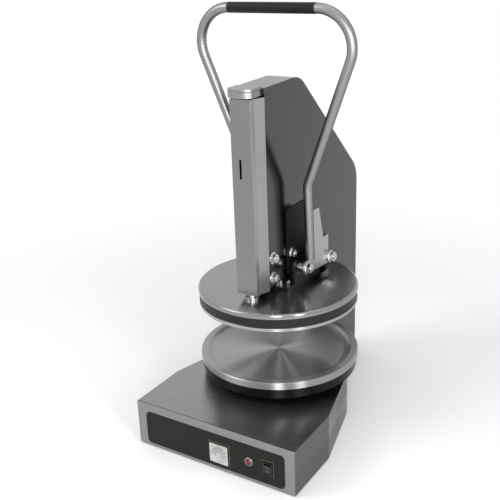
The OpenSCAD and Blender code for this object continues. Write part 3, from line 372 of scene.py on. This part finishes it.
def round_edges(obj, width):
    """Small rounding along the sharp edges of a piece, whose flat faces are joined first."""
    join_gap, flat_angle, sharp_angle = 1e-5, math.radians(0.3), math.radians(40)
    weld = obj.modifiers.new("weld", "WELD")
    weld.merge_threshold = join_gap
    flats = obj.modifiers.new("flats", "DECIMATE")
    flats.decimate_type = "DISSOLVE"
    flats.angle_limit = flat_angle
    bevel = obj.modifiers.new("round", "BEVEL")
    bevel.width = width
    bevel.segments = 3
    bevel.limit_method = "ANGLE"
    bevel.angle_limit = sharp_angle
    bevel.harden_normals = True


for worn, names in WEARS.items():
    for name in names.split():
        dress(NODES[name], worn)
for width, names in ROUNDED.items():
    for name in names.split():
        round_edges(NODES[name], width * MM)


# Shapes of the small details


def piece(name, shape, finish, body):
    """Extra piece from a finished mesh, which rides on a body."""
    bmesh.ops.recalc_face_normals(shape, faces=shape.faces)
    mesh = bpy.data.meshes.new(name)
    shape.to_mesh(mesh)
    shape.free()
    obj = bpy.data.objects.new(name, mesh)
    bpy.context.collection.objects.link(obj)
    mesh.materials.append(FINISHES[finish])
    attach(obj, body)


def band(shape, low, high):
    """Quads between two closed loops with as many points."""
    for i in range(len(low)):
        j = (i + 1) % len(low)
        shape.faces.new((low[i], low[j], high[j], high[i]))


def loop_of(shape, outline, place, height):
    return [shape.verts.new(place(a, b, height)) for a, b in outline]


def slab(shape, outline, place, height):
    """Thin closed plate over a convex outline.

    place turns two ways along a face and a height above it to a point.
    """
    low = loop_of(shape, outline, place, 0)
    high = loop_of(shape, outline, place, height)
    band(shape, low, high)
    shape.faces.new(low)
    shape.faces.new(high)


def slab_ring(shape, outer, inner, place, height):
    """Thin closed plate between two outlines with as many points."""
    loops = [loop_of(shape, outline, place, h) for h in (0, height) for outline in (outer, inner)]
    low_out, low_in, high_out, high_in = loops
    band(shape, low_out, high_out)
    band(shape, high_out, high_in)
    band(shape, high_in, low_in)
    band(shape, low_in, low_out)


def stroke(start, end, width):
    """Outline of a straight line of some width, with square ends."""
    start, end = Vector(start), Vector(end)
    along = (end - start).normalized() * width / 2
    across = Vector((-along.y, along.x))
    return [start - along - across, end + along - across, end + along + across, start - along + across]


def oblong(half_w, half_h):
    return [(-half_w, -half_h), (half_w, -half_h), (half_w, half_h), (-half_w, half_h)]


def circle(radius, steps=32):
    angles = [math.tau * i / steps for i in range(steps)]
    return [(radius * math.cos(a), radius * math.sin(a)) for a in angles]


def facing_front(centre, y):
    """Places points on an upright plane that looks forward, about a centre."""
    return lambda a, b, height: Vector((centre.x + a, y - height, centre.z + b))


def weld_bead(shape, start, end, radius):
    """Bead of overlapping scales along a straight seam."""
    sides, scale_len, rings_per_scale, trough = 8, 3.2 * MM, 4, 0.72
    run = end - start
    way = run.normalized()
    across = way.orthogonal().normalized()
    third = way.cross(across)
    rings = rings_per_scale * round(run.length / scale_len)
    loops = []
    for i in range(rings + 1):
        swell = trough + (1 - trough) * (i % rings_per_scale) / (rings_per_scale - 1)
        centre = start + run * i / rings
        turns = [math.tau * k / sides for k in range(sides)]
        points = [centre + (across * math.cos(a) + third * math.sin(a)) * radius * swell for a in turns]
        loops.append([shape.verts.new(p) for p in points])
    for low, high in zip(loops, loops[1:]):
        band(shape, low, high)
    shape.faces.new(loops[0])
    shape.faces.new(loops[-1])


# Dial: ticks and plain numbers round the knob

PRINT = 0.12 * MM
KNOB = middle("thermostat_knob")
DIAL_FACE = corners("dial_plate")[0].y
TICK_IN, TICK_OUT, TICK_W = 14.6 * MM, 16.8 * MM, 0.6 * MM
NUMBER_R, NUMBER_W, NUMBER_H, NUMBER_LINE = 18.7 * MM, 1.2 * MM, 2.2 * MM, 0.36 * MM
DIAL_STEP = 30
SEGMENTS = ("abcdef", "bc", "abged", "abgcd", "fgbc", "afgcd", "afgedc", "abc", "abcdefg", "abcdfg")


def number(shape, digit, centre, place):
    """Plain digit of up to seven straight strokes."""
    left, right = centre.x - NUMBER_W / 2, centre.x + NUMBER_W / 2
    low, mid, high = (centre.y + NUMBER_H / 2 * k for k in (-1, 0, 1))
    ends = {
        "a": ((left, high), (right, high)),
        "b": ((right, mid), (right, high)),
        "c": ((right, low), (right, mid)),
        "d": ((left, low), (right, low)),
        "e": ((left, low), (left, mid)),
        "f": ((left, mid), (left, high)),
        "g": ((left, mid), (right, mid)),
    }
    for segment in SEGMENTS[digit]:
        slab(shape, stroke(*ends[segment], NUMBER_LINE), place, PRINT)


def dial_marks():
    shape = bmesh.new()
    place = facing_front(KNOB, DIAL_FACE)
    for digit in range(len(SEGMENTS)):
        angle = math.radians(DIAL_STEP * digit)
        way = Vector((math.sin(angle), math.cos(angle)))
        slab(shape, stroke(way * TICK_IN, way * TICK_OUT, TICK_W), place, PRINT)
        number(shape, digit, way * NUMBER_R, place)
    piece("dial_marks", shape, "ink", "frame")


def knob_pointer():
    """Dark fill in the groove of the knob's face."""
    groove_w, groove_in, groove_out, groove_deep, fill = 1.5 * MM, 4.7 * MM, 8.6 * MM, 1.0 * MM, 0.5 * MM
    face = corners("thermostat_knob")[0].y
    shape = bmesh.new()
    outline = stroke((0, groove_in), (0, groove_out), groove_w)
    slab(shape, outline, facing_front(KNOB, face + groove_deep), fill)
    piece("knob_pointer", shape, "ink", "knob")


dial_marks()
knob_pointer()


# Fascia: thin gold lines above and to the right of the dial and the switch

FASCIA_FACE = corners("control_fascia")[0].y
LINE_W = 0.9 * MM


def gold_line(name, node, margin):
    """Line of one bend that stands off a node's upper right corner."""
    low, high = corners(node)
    half_w, half_h = (high.x - low.x) / 2 + margin, (high.z - low.z) / 2 + margin
    outer = [(-half_w, half_h), (half_w, half_h), (half_w, -half_h)]
    inner = [(-half_w, half_h - LINE_W), (half_w - LINE_W, half_h - LINE_W), (half_w - LINE_W, -half_h)]
    shape = bmesh.new()
    place = facing_front(middle(node), FASCIA_FACE)
    for i in range(2):
        slab(shape, [outer[i], outer[i + 1], inner[i + 1], inner[i]], place, PRINT)
    piece(name, shape, "gold", "frame")


gold_line("dial_line", "dial_plate", margin=4.0 * MM)
gold_line("switch_line", "switch_frame", margin=3.4 * MM)


# Rocker: a bar on the half that switches on, a ring on the half that switches off

ROCKER_TILT = math.radians(11)
ROCKER_MID, ROCKER_EDGE, ROCKER_HALF = 2.6 * MM, 5.0 * MM, 10.0 * MM
MARK_AT = 5.4 * MM
SWITCH = middle("switch_frame")
PANEL_FACE = corners("control_fascia")[1].y


def rocker_face(side):
    """Places points on the upper or lower half of the tilted rocker."""
    edge = Vector((side * ROCKER_HALF, ROCKER_EDGE - ROCKER_MID))
    along = edge.normalized()
    normal = Vector((-along.y, along.x)) * side

    def place(a, b, height):
        up, out = Vector((0, ROCKER_MID)) + along * (MARK_AT + b) + normal * height
        tilted_up = up * math.cos(ROCKER_TILT) - out * math.sin(ROCKER_TILT)
        tilted_out = up * math.sin(ROCKER_TILT) + out * math.cos(ROCKER_TILT)
        return Vector((SWITCH.x + a, PANEL_FACE - tilted_out, SWITCH.z + tilted_up))

    return place


def rocker_marks():
    half_bar, reach, ring_in = 0.4 * MM, 1.8 * MM, 1.1 * MM
    shape = bmesh.new()
    slab(shape, oblong(half_bar, reach), rocker_face(1), PRINT)
    slab_ring(shape, circle(reach), circle(ring_in), rocker_face(-1), PRINT)
    piece("rocker_marks", shape, "mark", "rocker")


rocker_marks()


# Welds: arms to gussets, brackets to the tower

HANDLE_LEAN = math.radians(2.8)
ARM_FOOT = Vector((64.0, 25.0, 353.6)) * MM + Vector((0, AXIS_Y, 0))
ARM_R = 9.5 * MM
GUSSET_HALF = 2.5 * MM
BRACKET_T = 5.0 * MM


def handle_welds():
    """Beads on both faces of each gusset, along the back of the arm."""
    bead_r, bead_low, bead_high = 1.0 * MM, 6 * MM, 94 * MM
    shape = bmesh.new()
    way = Vector((0, -math.sin(HANDLE_LEAN), math.cos(HANDLE_LEAN)))
    behind = math.sqrt(ARM_R ** 2 - GUSSET_HALF ** 2)
    for side in (-1, 1):
        for face in (-1, 1):
            seam = Vector((side * ARM_FOOT.x + face * GUSSET_HALF, ARM_FOOT.y + behind, ARM_FOOT.z))
            weld_bead(shape, seam + way * bead_low, seam + way * bead_high, bead_r)
    piece("handle_welds", shape, "weld", "handle")


def bracket_welds():
    """Beads on both faces of each bracket, down the tower's sides."""
    bead_r, end_gap = 1.6 * MM, 3 * MM
    shape = bmesh.new()
    for node, side in (("pivot_bracket_left", -1), ("pivot_bracket_right", 1)):
        low, high = corners(node)
        x = min(abs(low.x), abs(high.x)) * side
        for y in (high.y, high.y - BRACKET_T):
            weld_bead(shape, Vector((x, y, low.z + end_gap)), Vector((x, y, high.z - end_gap)), bead_r)
    piece("bracket_welds", shape, "weld", "frame")


handle_welds()
bracket_welds()


# Base: painted shade line behind the folded front edge, where the fold shows dark


def base_fold_shade():
    # A dark line painted on the top: painted shade along the fold
    shade_line_in, shade_line_w, end_gap = 2.4 * MM, 1.8 * MM, 2.0 * MM
    low, high = corners("base_shell")
    shape = bmesh.new()
    outline = stroke((low.x + end_gap, 0), (high.x - end_gap, 0), shade_line_w)
    y = low.y + shade_line_in
    slab(shape, outline, lambda a, b, height: Vector((a, y + b, high.z + height)), PRINT)
    piece("base_fold_shade", shape, "ink", "frame")


base_fold_shade()


# Return spring: the coil stands on the guide block, as a copy of the part's mesh carried by the frame


def spring_coil():
    obj = bpy.data.objects.new("spring_coil", NODES["return_spring"].data.copy())
    bpy.context.collection.objects.link(obj)
    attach(obj, "frame")
    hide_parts("return_spring")
    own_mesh(obj)


spring_coil()


# Studio: pale floor, soft lamps and a white surround


def surround():
    """White to the camera and in reflections; a plain level of light on everything else."""
    plain, white = 0.6, 1.0
    world = bpy.data.worlds.new("studio")
    world.use_nodes = True
    tree = world.node_tree
    back = tree.nodes["Background"]
    path = tree.nodes.new("ShaderNodeLightPath")
    seen = path.outputs["Is Camera Ray"]
    for output in ("Is Glossy Ray", "Is Transmission Ray"):
        either = tree.nodes.new("ShaderNodeMath")
        either.operation = "MAXIMUM"
        tree.links.new(seen, either.inputs[0])
        tree.links.new(path.outputs[output], either.inputs[1])
        seen = either.outputs[0]
    level = tree.nodes.new("ShaderNodeMapRange")
    level.inputs["To Min"].default_value = plain
    level.inputs["To Max"].default_value = white
    tree.links.new(seen, level.inputs["Value"])
    tree.links.new(level.outputs["Result"], back.inputs["Strength"])
    back.inputs["Color"].default_value = (1, 1, 1, 1)
    bpy.context.scene.world = world


def floor():
    """Pale floor that turns clear with distance, so that it runs into the white surround."""
    reach, fade = 3.0, (0.55, 1.5)
    mesh = bpy.data.meshes.new("floor")
    mesh.from_pydata([(x, y, 0) for x, y in oblong(reach, reach)], [], [(0, 1, 2, 3)])
    obj = bpy.data.objects.new("floor", mesh)
    bpy.context.collection.objects.link(obj)
    finish = Finish("floor", color=(0.97, 0.97, 0.97), roughness=0.9, Specular_IOR_Level=0.1)
    far = finish.add("ShaderNodeVectorMath", operation="LENGTH")
    finish.join(finish.coords((1, 1, 1)), far.inputs[0])
    shown = finish.remap(far.outputs["Value"], fade, (1, 0), interpolation_type="SMOOTHSTEP")
    finish.feed("Alpha", shown)
    mesh.materials.append(finish.mat)


def lamp(name, place, aim, size, watts):
    data = bpy.data.lights.new(name, "AREA")
    data.shape = "RECTANGLE"
    data.size, data.size_y = size
    data.energy = watts
    obj = bpy.data.objects.new(name, data)
    obj.location = place
    obj.rotation_euler = (Vector(aim) - Vector(place)).to_track_quat("-Z", "Y").to_euler()
    bpy.context.collection.objects.link(obj)


surround()
floor()
lamp("key", place=(-1.6, -1.6, 2.2), aim=(0, 0, 0.35), size=(1.4, 1.4), watts=24)
lamp("top", place=(0.1, 0.3, 2.8), aim=(0, 0, 0.2), size=(2.0, 2.0), watts=10)
lamp("near_strip", place=(1.1, -2.1, 0.9), aim=(0, 0, 0.4), size=(0.42, 1.6), watts=26)
lamp("side_strip", place=(2.0, -1.3, 0.9), aim=(0, 0, 0.4), size=(0.42, 1.6), watts=22)


# Camera at the photograph's place

CAMERA_AT = Vector((798.7, -1337.9, 968.0)) * MM + Vector((0, AXIS_Y, 0))
CAMERA_AIM = Vector((217.5, -439.4, 559.1)) * MM + Vector((0, AXIS_Y, 0))
CAMERA_ROLL = math.radians(-2.2)
CAMERA_LENS = 58.1


def camera():
    data = bpy.data.cameras.new("camera")
    data.lens = CAMERA_LENS
    data.sensor_width = 36.0
    data.clip_end = 50.0
    obj = bpy.data.objects.new("camera", data)
    forward = (CAMERA_AIM - CAMERA_AT).normalized()
    right = forward.cross(Vector((0, 0, 1))).normalized()
    up = right.cross(forward)
    c, s = math.cos(CAMERA_ROLL), math.sin(CAMERA_ROLL)
    axes = (right * c + up * s, up * c - right * s, -forward)
    obj.matrix_world = Matrix.Translation(CAMERA_AT) @ Matrix(axes).transposed().to_4x4()
    bpy.context.collection.objects.link(obj)
    bpy.context.scene.camera = obj


camera()
bpy.context.scene.view_settings.view_transform = "Standard"
